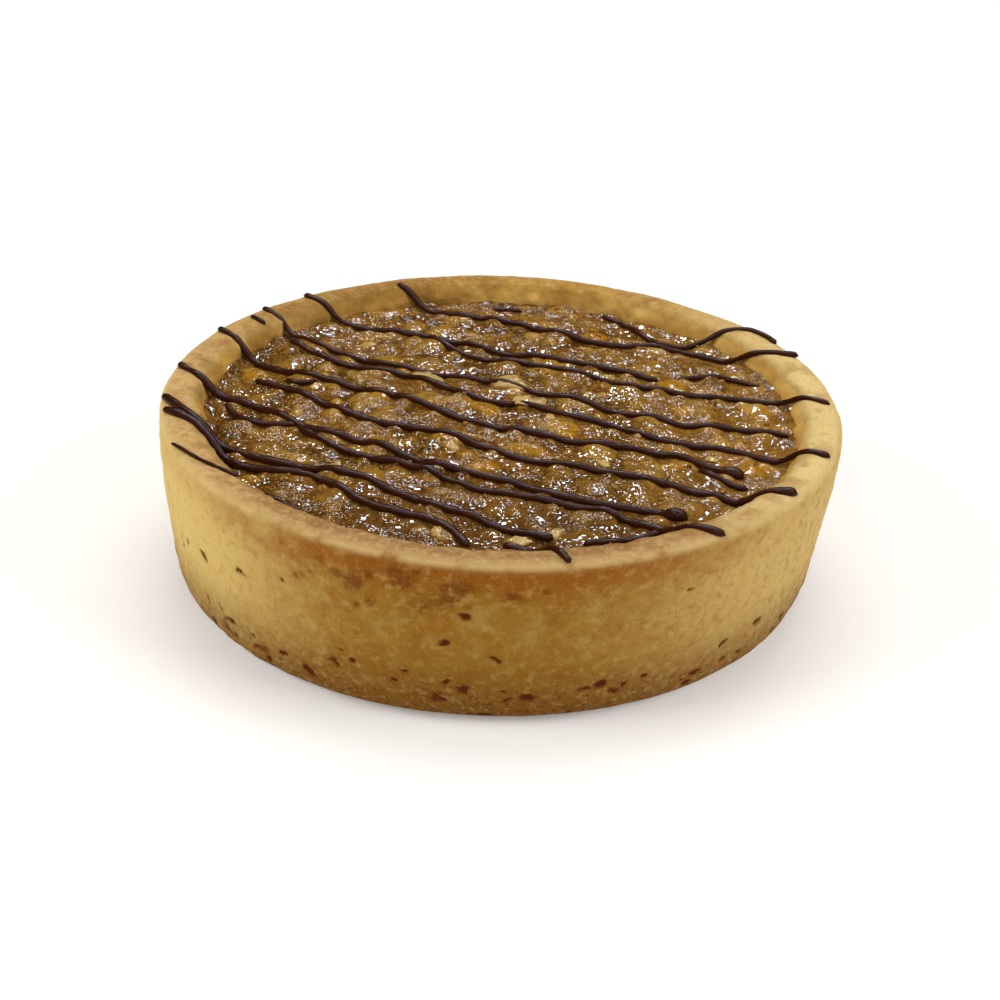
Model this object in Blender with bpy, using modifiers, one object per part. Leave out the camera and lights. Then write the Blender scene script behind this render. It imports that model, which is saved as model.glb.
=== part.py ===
"""A walnut tart: a round, steep-sided shortcrust case filled level with chopped walnuts in caramel, with dark
chocolate piped across it in thin wavy strands. Metres, +Z up, origin at the centre of the flat base."""

import math
import random

import bmesh
import bpy
from mathutils import Matrix, Vector, noise

MM = 0.001

# Driving dimensions of the pastry case
WIDEST_RADIUS = 50.0 * MM
CASE_HEIGHT = 27.5 * MM
BASE_RADIUS = 43.0 * MM
FLOOR_THICKNESS = 4.5 * MM
RIM_WIDTH = 6.0 * MM
INNER_RADIUS = WIDEST_RADIUS - RIM_WIDTH - 0.4 * MM
SHOULDER_WIDTH = 3.0 * MM
EDGE_WIDTH = 1.1 * MM
CASE_SEGMENTS = 54

# The filling, and the gap that keeps it a separate solid
FILLING_LEVEL = CASE_HEIGHT - 3.3 * MM
FILLING_DOME = 0.9 * MM
FILLING_RELIEF = 0.35 * MM
FILLING_SEGMENTS = 42
FILLING_RINGS = 6
GAP = 0.3 * MM

# Chopped walnut that shows at the surface: half sizes along, across and up
NUT_COUNT = 84
NUT_SPACING = 5.6 * MM
NUT_HALF_LENGTH = (2.4 * MM, 4.0 * MM)
NUT_HALF_WIDTH = (1.8 * MM, 2.9 * MM)
NUT_HALF_HEIGHT = (0.75 * MM, 1.25 * MM)
NUT_FIELD_RADIUS = 39.0 * MM

# Piped chocolate. Each strand: start and end in the plan, bow and sway to its left, in mm; a wave's reach in mm
# and how many half waves of it the strand has; and its diameter in mm
STRANDS = {
    "back": (-17.5, 43.5, 45.5, 19.5, -2.0, -1.0, -0.6, 5, 1.0),
    "back_right": (16.0, 39.5, 42.5, 24.0, -2.5, -2.0, 2.0, 3, 0.9),
    "back_wall": (-2.0, 41.5, 3.0, 40.5, 0.5, 0.0, 0.0, 1, 0.8),
    "far_upper": (-32.0, 37.5, 24.0, 14.5, -1.5, -0.5, -0.5, 4, 1.0),
    "far_lower": (-11.5, 27.5, 48.5, 2.5, -2.5, -1.5, -1.2, 4, 0.9),
    "far_dash": (27.0, 15.0, 39.5, 13.5, 2.0, 0.0, 0.0, 1, 0.8),
    "upper": (-38.0, 31.5, 42.5, -2.5, -6.5, 0.0, -1.5, 3, 0.9),
    "upper_middle": (-33.0, 23.5, 47.0, -14.5, -3.0, -0.5, -0.9, 6, 1.0),
    "middle": (-44.0, 22.5, 35.0, -16.5, -4.5, -0.8, -0.8, 4, 1.1),
    "middle_dash": (28.5, -15.5, 35.5, -19.5, -1.0, 0.0, 0.0, 1, 1.0),
    "left_dash": (-32.5, 9.5, -27.5, 9.0, -1.0, 0.0, 0.0, 1, 0.9),
    "lower_middle": (-37.0, 9.0, 41.5, -26.5, -4.0, -0.7, 0.5, 6, 1.1),
    "lower": (-48.5, 8.5, 26.5, -30.5, -4.5, 0.0, -0.5, 8, 1.2),
    "lower_loop": (-40.5, 0.5, -29.5, -6.0, -2.8, 0.0, 0.0, 1, 1.0),
    "front_upper": (-29.5, -6.5, 31.0, -39.0, -2.0, -1.5, -0.7, 5, 1.1),
    "front_middle": (-49.5, -2.5, 8.0, -38.0, -2.5, -1.2, -1.0, 3, 1.2),
    "front_right_wall": (12.0, -39.0, 23.5, -34.5, 0.0, 0.0, 0.0, 1, 1.0),
    "front_lower": (-49.0, -7.0, -3.5, -40.0, 0.0, -1.2, 0.9, 5, 1.2),
    "front_tail": (1.0, -40.0, 10.0, -48.5, 1.5, 0.0, 0.0, 1, 1.1),
    "left_rim": (-46.5, -17.5, -36.0, -27.5, -0.6, 0.0, 0.0, 1, 0.6),
    "front_left_wall": (-32.5, -27.0, -26.5, -32.0, 0.0, 0.0, 0.0, 1, 0.8),
    "back_left_rim": (-39.5, 28.0, -37.0, 25.5, 0.0, 0.0, 0.0, 1, 0.8),
}
STRAND_STEP = 4.4 * MM
STRAND_DRAPE = 2.2 * MM
STRAND_LIFT = 0.35
STRAND_ROUNDNESS = 1
RIM_STRAND_FROM = INNER_RADIUS + 0.7 * MM
RIM_STRAND_TO = WIDEST_RADIUS - 1.0 * MM
FILLING_STRAND_TO = INNER_RADIUS - 1.0 * MM

# How far the hand-made case is from a true circle
OUT_OF_ROUND = 0.006
THREE_SIDED = 0.003
BASE_LEAN = 0.9 * MM
RIM_WAVE = 0.3 * MM
CRUST_RELIEF = 0.22 * MM


def rand(low_high, dice):
    low, high = low_high
    return low + (high - low) * dice.random()


def case_profile():
    """Radius and height from the middle of the floor, up the inner wall, over the rim and down to the base."""
    top, wide = CASE_HEIGHT, WIDEST_RADIUS
    inner = [
        (0, FLOOR_THICKNESS),
        (INNER_RADIUS - 4.2 * MM, FLOOR_THICKNESS),
        (INNER_RADIUS - 2.4 * MM, FLOOR_THICKNESS + 1.5 * MM),
        (INNER_RADIUS - 0.3 * MM, FILLING_LEVEL),
        (INNER_RADIUS + 0.2 * MM, top - 1.8 * MM),
        (INNER_RADIUS + 0.9 * MM, top - 0.7 * MM),
        (INNER_RADIUS + 2.0 * MM, top - 0.15 * MM),
    ]
    rim = [
        (INNER_RADIUS + SHOULDER_WIDTH, top),
        (wide - EDGE_WIDTH, top - 0.1 * MM),
        (wide - 0.35 * MM, top - 0.6 * MM),
        (wide, top - 1.8 * MM),
    ]
    outer = [
        (wide - 0.7 * MM, 0.68 * top),
        (wide - 1.5 * MM, 0.42 * top),
        (wide - 2.6 * MM, 5.0 * MM),
        (wide - 3.6 * MM, 2.3 * MM),
        (wide - 5.1 * MM, 0.7 * MM),
        (BASE_RADIUS, 0),
        (0, 0),
    ]
    return inner + rim + outer


def filling_height(x, y):
    """Height of the caramel between the nuts: a low dome with gentle hollows."""
    share = min(1.0, math.hypot(x, y) / INNER_RADIUS)
    ripple = noise.noise(Vector((x, y, 0)) / (9 * MM))
    return FILLING_LEVEL + FILLING_DOME * (1 - share**2) + FILLING_RELIEF * ripple


def scattered_nuts():
    """Places, half sizes and turns of the nut pieces, kept apart so that they cover the filling evenly."""
    dice = random.Random(11)
    nuts = []
    while len(nuts) < NUT_COUNT:
        distance = NUT_FIELD_RADIUS * math.sqrt(dice.random())
        angle = dice.uniform(0, math.tau)
        x, y = distance * math.cos(angle), distance * math.sin(angle)
        if any(math.hypot(x - nut["x"], y - nut["y"]) < NUT_SPACING for nut in nuts):
            continue
        half = (rand(NUT_HALF_LENGTH, dice), rand(NUT_HALF_WIDTH, dice), rand(NUT_HALF_HEIGHT, dice))
        nuts.append({"x": x, "y": y, "half": half, "turn": dice.uniform(0, math.tau)})
    return nuts


NUTS = scattered_nuts()


def surface_height(x, y):
    """Top of the filling with its nuts, or of the rim beyond the inner wall."""
    radius = math.hypot(x, y)
    if radius > INNER_RADIUS:
        from_flat = max(0.0, INNER_RADIUS + SHOULDER_WIDTH - radius)
        into_edge = max(0.0, radius - (WIDEST_RADIUS - EDGE_WIDTH))
        return CASE_HEIGHT - from_flat**2 / (5.9 * MM) - into_edge**2 / (1.1 * MM)
    height = filling_height(x, y)
    for nut in NUTS:
        along = (x - nut["x"]) * math.cos(nut["turn"]) + (y - nut["y"]) * math.sin(nut["turn"])
        across = (y - nut["y"]) * math.cos(nut["turn"]) - (x - nut["x"]) * math.sin(nut["turn"])
        outside = (along / nut["half"][0]) ** 2 + (across / nut["half"][1]) ** 2
        if outside < 1:
            top = filling_height(nut["x"], nut["y"]) + nut["half"][2] * math.sqrt(1 - outside)
            height = max(height, top)
    return height


def strand_plan(name):
    """The strand's line in plan: a chord with a bow, a sway and a finer wave to its left."""
    start_x, start_y, end_x, end_y, bow, sway, wave, half_waves, _ = STRANDS[name]
    start = Vector((start_x, start_y)) * MM
    chord = Vector((end_x, end_y)) * MM - start
    left = Vector((-chord.y, chord.x)).normalized()
    count = max(3, round(chord.length / STRAND_STEP) + 1)
    points = []
    for i in range(count):
        turn = math.pi * i / (count - 1)
        side = bow * math.sin(turn) + sway * math.sin(2 * turn) + wave * math.sin(half_waves * turn)
        points.append(start + chord * i / (count - 1) + left * side * MM)
    return points


def strand_path(name):
    """The strand draped over what lies under it, as points at the centre of its thickness."""
    radius = STRANDS[name][-1] * MM / 2
    path = []
    for point in strand_plan(name):
        near = [
            surface_height(point.x + STRAND_DRAPE * dx, point.y + STRAND_DRAPE * dy)
            for dx, dy in ((0, 0), (0.5, 0), (-0.5, 0), (0, 0.5), (0, -0.5), (1, 0), (-1, 0))
        ]
        path.append(Vector((point.x, point.y, sum(near) / len(near) + STRAND_LIFT * radius)))
    return path


def stretches(path, low, high):
    """The runs of points whose distance from the axis lies between low and high, cut at those distances."""
    runs, run = [], []
    for before, after in zip([None, *path], path):
        inside = low <= after.xy.length <= high
        if before is not None and (low <= before.xy.length <= high) != inside:
            crossing = cut_point(before, after, low, high)
            run.append(crossing)
            if not inside:
                runs.append(run)
                run = []
        if inside:
            run.append(after)
    runs.append(run)
    return [r for r in runs if sum((b - a).length for a, b in zip(r, r[1:])) > 1.2 * MM]


def cut_point(before, after, low, high):
    """The point between two neighbours at the limiting distance from the axis that lies between them."""
    first, second = before.xy.length, after.xy.length
    limit = low if (first < low) != (second < low) else high
    return before.lerp(after, (limit - first) / (second - first))


def uneven(point):
    """Where a point of the true round tart lies on the hand-made one."""
    angle = math.atan2(point.y, point.x)
    stretch = 1 + OUT_OF_ROUND * math.cos(2 * angle + 0.6) + THREE_SIDED * math.cos(3 * angle)
    up = point.z / CASE_HEIGHT
    wave = RIM_WAVE * up * up * (0.6 * math.sin(2 * angle + 0.9) + 0.4 * math.sin(5 * angle))
    return Vector((point.x * stretch - BASE_LEAN * (1 - up), point.y * stretch, point.z + wave))


def crusty(point):
    """Low relief of baked pastry on the outer wall and the rim. The base stays flat."""
    if point.z < 0.2 * MM or point.xy.length < INNER_RADIUS + 1.0 * MM:
        return point
    swell = noise.fractal(point / (7 * MM), 0.9, 2.1, 3) * CRUST_RELIEF
    outward = Vector((point.x, point.y, 0)).normalized()
    return point + outward * swell


def new_mesh_object(name, mesh, collection):
    obj = bpy.data.objects.new(name, mesh)
    collection.objects.link(obj)
    return obj


def turned(name, profile, segments, collection):
    """A solid of revolution from a profile of radius and height, as a plain mesh."""
    mesh = bpy.data.meshes.new(name)
    mesh.from_pydata([(r, 0, z) for r, z in profile], [(i, i + 1) for i in range(len(profile) - 1)], [])
    obj = new_mesh_object(name + "_profile", mesh, collection)
    screw = obj.modifiers.new("turn", "SCREW")
    screw.steps = screw.render_steps = segments
    screw.use_merge_vertices = True
    screw.merge_threshold = 0.01 * MM
    return baked(obj, name, collection)


def baked(source, name, collection):
    """source with its modifiers applied, welded, as a mesh object of its own. source is removed."""
    bpy.context.view_layer.update()
    evaluated = source.evaluated_get(bpy.context.evaluated_depsgraph_get())
    mesh = bpy.data.meshes.new_from_object(evaluated)
    obj = new_mesh_object(name, mesh, collection)
    obj.matrix_world = source.matrix_world
    bpy.data.objects.remove(source)
    cage = bmesh.new()
    cage.from_mesh(mesh)
    bmesh.ops.remove_doubles(cage, verts=cage.verts, dist=0.005 * MM)
    cage.to_mesh(mesh)
    cage.free()
    return obj


def reshape(obj, move):
    for vertex in obj.data.vertices:
        vertex.co = move(vertex.co.copy())


def strand_solid(name, path, diameter, collection):
    """A round strand along the path, a little thinner at its two ends."""
    curve = bpy.data.curves.new(name, "CURVE")
    curve.dimensions = "3D"
    curve.bevel_depth = diameter / 2
    curve.bevel_resolution = STRAND_ROUNDNESS
    curve.use_fill_caps = True
    spline = curve.splines.new("POLY")
    spline.points.add(len(path) - 1)
    for i, point in enumerate(path):
        spline.points[i].co = (*point, 1)
        spline.points[i].radius = 0.8 if i in (0, len(path) - 1) else 1.0
    obj = new_mesh_object(name, curve, collection)
    return baked(obj, name, collection)


def nut_solid(nut, number, collection):
    """One chopped piece of walnut: a rough faceted lump, half sunk in the caramel."""
    dice = random.Random(number)
    lump = bmesh.new()
    bmesh.ops.create_icosphere(lump, subdivisions=1, radius=1.0)
    for vertex in lump.verts:
        vertex.co *= dice.uniform(0.86, 1.12)
    bmesh.ops.scale(lump, vec=nut["half"], verts=lump.verts)
    bmesh.ops.rotate(lump, matrix=Matrix.Rotation(nut["turn"], 3, "Z"), verts=lump.verts)
    height = filling_height(nut["x"], nut["y"])
    bmesh.ops.translate(lump, vec=(nut["x"], nut["y"], height), verts=lump.verts)
    mesh = bpy.data.meshes.new(f"nut_{number}")
    lump.to_mesh(mesh)
    lump.free()
    return new_mesh_object(f"nut_{number}", mesh, collection)


def fuse(body, pieces):
    """One union joins every piece of the collection to the body. The pieces are then removed."""
    union = body.modifiers.new("fuse", "BOOLEAN")
    union.operation = "UNION"
    union.operand_type = "COLLECTION"
    union.collection = pieces
    union.solver = "EXACT"
    bpy.context.view_layer.update()
    fused = bpy.data.meshes.new_from_object(body.evaluated_get(bpy.context.evaluated_depsgraph_get()))
    body.modifiers.clear()
    body.data = fused
    for piece in list(pieces.objects):
        bpy.data.objects.remove(piece)
    bpy.data.collections.remove(pieces)
    keep_outer_skin(body)


def keep_outer_skin(body):
    """Fills a hollow that fusing sealed, and drops a loose scrap, by keeping the widest connected skin."""
    skin = bmesh.new()
    skin.from_mesh(body.data)
    bmesh.ops.remove_doubles(skin, verts=skin.verts, dist=0.002 * MM)
    unseen, shells = set(skin.verts), []
    while unseen:
        front = [unseen.pop()]
        shell = set(front)
        while front:
            for edge in front.pop().link_edges:
                for vertex in edge.verts:
                    if vertex in unseen:
                        unseen.remove(vertex)
                        shell.add(vertex)
                        front.append(vertex)
        shells.append(shell)
    widest = max(shells, key=lambda shell: max(v.co.x for v in shell) - min(v.co.x for v in shell))
    loose = [v for shell in shells if shell is not widest for v in shell]
    bmesh.ops.delete(skin, geom=loose, context="VERTS")
    skin.to_mesh(body.data)
    skin.free()


def food_material(name, colour, roughness):
    material = bpy.data.materials.new(name)
    material.use_nodes = True
    shader = material.node_tree.nodes["Principled BSDF"]
    shader.inputs["Base Color"].default_value = (*colour, 1)
    shader.inputs["Roughness"].default_value = roughness
    shader.inputs["Metallic"].default_value = 0
    return material


def finish(obj, material):
    """The hand-made unevenness, the material and smooth shading with crisp nut edges."""
    reshape(obj, uneven)
    obj.data.materials.clear()
    obj.data.materials.append(material)
    obj.data.shade_smooth()
    obj.data.set_sharp_from_angle(angle=math.radians(40))


def centre_in_plan(objects):
    """Brings the middle of the whole tart's bounding box, seen from above, to the origin."""
    points = [v.co for obj in objects for v in obj.data.vertices]
    middle_x = (max(p.x for p in points) + min(p.x for p in points)) / 2
    middle_y = (max(p.y for p in points) + min(p.y for p in points)) / 2
    for obj in objects:
        obj.data.transform(Matrix.Translation((-middle_x, -middle_y, 0)))


def add_strands(low, high, label, collection):
    """The stretches of every strand between two distances from the axis."""
    for name in STRANDS:
        diameter = STRANDS[name][-1] * MM
        for i, run in enumerate(stretches(strand_path(name), low, high)):
            strand_solid(f"{label}_{name}_{i}", run, diameter, collection)


def make_crust(tart):
    """The pastry case, with the chocolate that lies on its rim."""
    crust = turned("crust", case_profile(), CASE_SEGMENTS, tart)
    reshape(crust, crusty)
    on_rim = bpy.data.collections.new("on_rim")
    bpy.context.scene.collection.children.link(on_rim)
    add_strands(RIM_STRAND_FROM, RIM_STRAND_TO, "rim", on_rim)
    fuse(crust, on_rim)
    finish(crust, food_material("baked_pastry", (0.60, 0.37, 0.13), 0.62))
    return crust


def filling_profile():
    """Down from the middle of the top, a gap inside the case all the way."""
    edge = INNER_RADIUS - 0.3 * MM - GAP
    top = [(edge * i / FILLING_RINGS, FILLING_LEVEL) for i in range(FILLING_RINGS + 1)]
    foot = FLOOR_THICKNESS + GAP
    return top + [
        (INNER_RADIUS - 2.4 * MM - GAP, foot + 1.5 * MM),
        (INNER_RADIUS - 4.2 * MM - GAP, foot),
        (0, foot),
    ]


def make_filling(tart):
    """Caramel, with chopped walnuts standing out of it and the chocolate that crosses it."""
    filling = turned("filling", filling_profile(), FILLING_SEGMENTS, tart)

    def relief(point):
        if point.z > FILLING_LEVEL - 0.1 * MM:
            point.z = filling_height(point.x, point.y)
        return point

    reshape(filling, relief)
    on_filling = bpy.data.collections.new("on_filling")
    bpy.context.scene.collection.children.link(on_filling)
    for number, nut in enumerate(NUTS):
        nut_solid(nut, number, on_filling)
    add_strands(0.0, FILLING_STRAND_TO, "filling", on_filling)
    fuse(filling, on_filling)
    finish(filling, food_material("walnut_caramel", (0.30, 0.13, 0.03), 0.22))
    return filling


def main():
    for obj in list(bpy.data.objects):
        bpy.data.objects.remove(obj)
    tart = bpy.data.collections.new("walnut_tart")
    bpy.context.scene.collection.children.link(tart)
    centre_in_plan([make_crust(tart), make_filling(tart)])


main()
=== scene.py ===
"""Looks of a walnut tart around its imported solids: a baked pastry case, chopped walnuts in glossy caramel,
and thin strands of dark chocolate piped across. Its form and the strands' lines are those of the solids."""

import math
import random
from types import SimpleNamespace

import bmesh
import bpy
import numpy as np
from mathutils import Matrix, Vector, noise

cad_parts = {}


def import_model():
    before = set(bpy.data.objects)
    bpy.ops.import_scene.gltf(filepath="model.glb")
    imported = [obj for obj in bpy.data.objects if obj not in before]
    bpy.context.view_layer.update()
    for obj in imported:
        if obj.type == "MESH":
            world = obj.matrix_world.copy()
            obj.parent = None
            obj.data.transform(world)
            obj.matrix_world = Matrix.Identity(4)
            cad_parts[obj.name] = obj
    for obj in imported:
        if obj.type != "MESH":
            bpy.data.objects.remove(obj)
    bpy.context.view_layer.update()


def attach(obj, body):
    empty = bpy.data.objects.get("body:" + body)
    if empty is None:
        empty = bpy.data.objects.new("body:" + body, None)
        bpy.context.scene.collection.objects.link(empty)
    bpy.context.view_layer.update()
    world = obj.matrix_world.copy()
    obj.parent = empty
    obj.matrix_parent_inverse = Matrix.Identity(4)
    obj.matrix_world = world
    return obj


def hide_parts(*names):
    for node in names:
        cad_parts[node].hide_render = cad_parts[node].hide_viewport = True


MM = 0.001

# The form of the solids, with the same values
WIDEST_RADIUS = 50.0 * MM
CASE_HEIGHT = 27.5 * MM
BASE_RADIUS = 43.0 * MM
FLOOR_THICKNESS = 4.5 * MM
RIM_WIDTH = 6.0 * MM
INNER_RADIUS = WIDEST_RADIUS - RIM_WIDTH - 0.4 * MM
SHOULDER_WIDTH = 3.0 * MM
EDGE_WIDTH = 1.1 * MM
FILLING_LEVEL = CASE_HEIGHT - 3.3 * MM
FILLING_DOME = 0.9 * MM
FILLING_RELIEF = 0.35 * MM
FILLING_WAVE = 9 * MM
NUT_SEED = 11
NUT_COUNT = 84
NUT_SPACING = 5.6 * MM
NUT_HALF_LENGTH = (2.4 * MM, 4.0 * MM)
NUT_HALF_WIDTH = (1.8 * MM, 2.9 * MM)
NUT_HALF_HEIGHT = (0.75 * MM, 1.25 * MM)
NUT_FIELD_RADIUS = 39.0 * MM
OUT_OF_ROUND = 0.006
THREE_SIDED = 0.003
BASE_LEAN = 0.9 * MM
RIM_WAVE = 0.3 * MM

# Piped chocolate. Each strand: start and end in the plan, bow and sway to its left, in mm; a wave's reach in
# mm and how many half waves of it the strand has; and its diameter in mm
STRANDS = {
    "back": (-17.5, 43.5, 45.5, 19.5, -2.0, -1.0, -0.6, 5, 1.0),
    "back_right": (16.0, 39.5, 42.5, 24.0, -2.5, -2.0, 2.0, 3, 0.9),
    "back_wall": (-2.0, 41.5, 3.0, 40.5, 0.5, 0.0, 0.0, 1, 0.8),
    "far_upper": (-32.0, 37.5, 24.0, 14.5, -1.5, -0.5, -0.5, 4, 1.0),
    "far_lower": (-11.5, 27.5, 48.5, 2.5, -2.5, -1.5, -1.2, 4, 0.9),
    "far_dash": (27.0, 15.0, 39.5, 13.5, 2.0, 0.0, 0.0, 1, 0.8),
    "upper": (-38.0, 31.5, 42.5, -2.5, -6.5, 0.0, -1.5, 3, 0.9),
    "upper_middle": (-33.0, 23.5, 47.0, -14.5, -3.0, -0.5, -0.9, 6, 1.0),
    "middle": (-44.0, 22.5, 35.0, -16.5, -4.5, -0.8, -0.8, 4, 1.1),
    "middle_dash": (28.5, -15.5, 35.5, -19.5, -1.0, 0.0, 0.0, 1, 1.0),
    "left_dash": (-32.5, 9.5, -27.5, 9.0, -1.0, 0.0, 0.0, 1, 0.9),
    "lower_middle": (-37.0, 9.0, 41.5, -26.5, -4.0, -0.7, 0.5, 6, 1.1),
    "lower": (-48.5, 8.5, 26.5, -30.5, -4.5, 0.0, -0.5, 8, 1.2),
    "lower_loop": (-40.5, 0.5, -29.5, -6.0, -2.8, 0.0, 0.0, 1, 1.0),
    "front_upper": (-29.5, -6.5, 31.0, -39.0, -2.0, -1.5, -0.7, 5, 1.1),
    "front_middle": (-49.5, -2.5, 8.0, -38.0, -2.5, -1.2, -1.0, 3, 1.2),
    "front_right_wall": (12.0, -39.0, 23.5, -34.5, 0.0, 0.0, 0.0, 1, 1.0),
    "front_lower": (-49.0, -7.0, -3.5, -40.0, 0.0, -1.2, 0.9, 5, 1.2),
    "front_tail": (1.0, -40.0, 10.0, -48.5, 1.5, 0.0, 0.0, 1, 1.1),
    "left_rim": (-46.5, -17.5, -36.0, -27.5, -0.6, 0.0, 0.0, 1, 0.6),
    "front_left_wall": (-32.5, -27.0, -26.5, -32.0, 0.0, 0.0, 0.0, 1, 0.8),
    "back_left_rim": (-39.5, 28.0, -37.0, 25.5, 0.0, 0.0, 0.0, 1, 0.8),
}

# The strands' tubes. A strand bridges hollows: it follows what it lies on averaged over the taut rings, but
# nowhere lies deeper than its bite below the average over the close rings. The rim falls away from its flat
# top by the square of the distance over each curve
STRAND_RING = 0.5 * MM
STRAND_SIDES = 12
STRAND_FOOTPRINT = 0.3
TAUT_RINGS = 6
CLOSE_RINGS = 2
STRAND_BITE = 0.1 * MM
STRAND_UNEVENNESS = 0.34
STRAND_WAVES = (5 * MM, 1.7 * MM)
STRAND_LIFT = 0.3
STRAND_OVAL = (1.08, 0.9)
SHOULDER_CURVE = 5.9 * MM
EDGE_CURVE = 1.1 * MM
END_ROUNDING = 0.9 * MM
END_TIP = 0.03
END_BLOBS = {"middle": 0.825, "lower": 0.77, "lower_middle": 0.55}
BLOB_FROM_END = 1.6 * MM
BLOB_WIDTH = 1.5 * MM

# Unevenness of crust and caramel: how far it reaches, the size of its largest waves, how many octaves of
# waves it has, and where in the noise it starts. Each octave is finer by the step, and weaker by the step to
# the power of the fall
WALL_SWELL = (0.25 * MM, 9 * MM, 2, 0.0)
WALL_LUMPS = (0.10 * MM, 2.2 * MM, 3, 7.0)
CRUST_GRAIN = (0.05 * MM, 0.9 * MM, 2, 3.0)
RIM_SWELL = (0.18 * MM, 7 * MM, 3, 5.0)
INNER_SWELL = (0.6 * MM, 3.5 * MM, 3, 9.0)
CARAMEL_SWELL = (0.16 * MM, 3.2 * MM, 2, 4.0)
CARAMEL_GRAIN = (0.10 * MM, 1.0 * MM, 2, 8.0)
CARAMEL_CREEP = (0.35 * MM, 5 * MM, 2, 6.0)
OCTAVE_FALL = 0.9
OCTAVE_STEP = 2.1

# The case's mesh, and the marks on its wall. A mark's height and half length in mm crowd towards a value:
# that value, how far from it they reach, and how strongly they crowd. Its width is a share of its length.
# Spots in front scatter about a direction: that direction and their spread, in degrees
CASE_GRID = 0.4 * MM
CORNER_CUT = 0.2
MARK_SEED = 5
MARK_SHARPNESS = 1.3
PIT_COUNT = 230
PIT_DEPTH = 0.4 * MM
PITS_NEAR_FOOT = 0.88
PIT_HEIGHT = (1.2, 8.5, 1.7)
PIT_HEIGHT_ELSEWHERE = (9, 20)
PIT_HALF_LENGTH = (0.4, 1.4, 2)
PIT_WIDTH_SHARE = (0.3, 0.75)
PIT_LEAN = 0.35
PIT_STRENGTH = (0.6, 1)
CRACK_HALF_WIDTH = 0.22
CRACK_LEAN = -1.2
CRACK_STRENGTH = 0.8
BROWN_SPOT_COUNT = 60
BROWN_SPOT_DEPTH = 0.1 * MM
BROWN_SPOTS_IN_FRONT = 0.6
BROWN_SPOT_DIRECTION = (255, 18)
BROWN_SPOT_HEIGHT = (26, -8, 1.6)
BROWN_SPOT_HALF_LENGTH = (0.5, 1.6, 1.5)
BROWN_SPOT_WIDTH_SHARE = (0.5, 0.9)
BROWN_SPOT_LEAN = 0.6
BROWN_SPOT_STRENGTH = (0.3, 1)

# Cracks on the left of the wall: direction in degrees, height and half length in mm
CRACKS = (
    (204, 13.5, 1.9),
    (206, 9.5, 1.6),
    (213, 7.0, 1.5),
    (219, 6.0, 1.3),
    (199, 18, 1.6),
)

# Nut pieces and crumbs that are finer than the solids carry: their half length, and the shares of it that
# their half width and half height are
SMALL_NUT_SEED = 23
SMALL_NUT_COUNT = 300
SMALL_NUT_TRIES = 40000
SMALL_NUT_SPACING = 2.6 * MM
SMALL_NUT_FIELD_RADIUS = INNER_RADIUS - 1.2 * MM
SMALL_NUT_CLEARANCE = 0.7
SMALL_NUT_SIZE = ((1.1 * MM, 2.2 * MM), (0.6, 0.95), (0.35, 0.55))
CRUMB_SEED = 47
CRUMB_COUNT = 160
CRUMB_FIELD_RADIUS = INNER_RADIUS - 1.5 * MM
CRUMB_SIZE = ((0.3 * MM, 0.6 * MM), (0.6, 1), (0.5, 0.9))

# Pieces whose tone is paler than this stand out of the caramel, sunk into it by a share of their half height.
# The shape of these and of crumbs: how finely the ball is divided, how deep its wrinkles are, and a seed
LARGE_TONE_SEED = 61
SMALL_TONE_SEED = 62
SHOWING_TONE = 0.965
SUNK_SHARE = 0.72
SHOWING_SHAPE = (4, 0.2, 100)
CRUMB_SHAPE = (2, 0.1, 3000)
PIECE_TILT = 0.12
CUTS = (4, 7)
CUT_DISTANCE = (0.5, 0.82)
SKIN_WAVES = 2.6

# The top of the filling
CARAMEL_GRID = 300
CARAMEL_RADIUS = INNER_RADIUS + 0.6 * MM
TERRAIN_CELL = 0.22 * MM
TERRAIN_RADIUS = INNER_RADIUS + 1.0 * MM
PLAIN_TONE = 0.3
LUMP_SEED = 500
LUMP_REACH = 1.5
LUMP_SIDES = (5, 7)
LUMP_TILT = 0.14
LUMP_JITTER = 0.25
LUMP_OUTLINE = (0.92, 1.12)
LUMP_BEVEL = (0.35, 0.7)
LUMP_HEIGHT_SHARE = 0.95
FILM_PASSES = 7
TONE_PASSES = 4
CREEP_HEIGHT = 0.7 * MM

# Camera, as the photograph's view was measured
CAMERA_ELEVATION = math.radians(27.4)
CAMERA_ROLL = math.radians(2.06)
CAMERA_DISTANCE = 0.4
CAMERA_LENS = 96.0
CAMERA_SENSOR = 36.0
CAMERA_CLIP = (0.01, 10.0)
AIM_RIGHT = 0.35 * MM
AIM_DOWN = 2.35 * MM


def srgb(red, green, blue):
    """A display colour, 0 to 255, as the linear colour that a shader takes."""
    linear = [((c / 255 + 0.055) / 1.055) ** 2.4 if c > 10 else c / 255 / 12.92 for c in (red, green, blue)]
    return (*linear, 1.0)


def smooth_step(low, high, values):
    """0 below low and 1 above high, with a soft rise between."""
    share = np.clip((values - low) / (high - low), 0, 1)
    return share * share * (3 - 2 * share)


def bell(values, middle, width):
    """1 at the middle, falling softly to nothing within about two widths of it."""
    return np.exp(-(((values - middle) / width) ** 2))


def ripples(points, reach, size, octaves, offset):
    """Fractal noise at the points, about as far as reach up and down, with its largest waves of that size."""
    shift = Vector((offset, 2 * offset, -offset))
    waves = [noise.fractal(Vector(p) / size + shift, OCTAVE_FALL, OCTAVE_STEP, octaves) for p in points]
    return reach * np.array(waves)


def crowded(value_reach_crowding, dice):
    """A random number between a value and its reach from there, crowding towards the value."""
    value, reach, crowding = value_reach_crowding
    return value + reach * dice.random() ** crowding


def place_in_disc(radius, dice):
    """A random place in the plan, evenly spread over a disc."""
    distance = radius * math.sqrt(dice.random())
    angle = dice.uniform(0, math.tau)
    return distance * math.cos(angle), distance * math.sin(angle)


# ---------------------------------------------------------------- form shared with the solids


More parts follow.
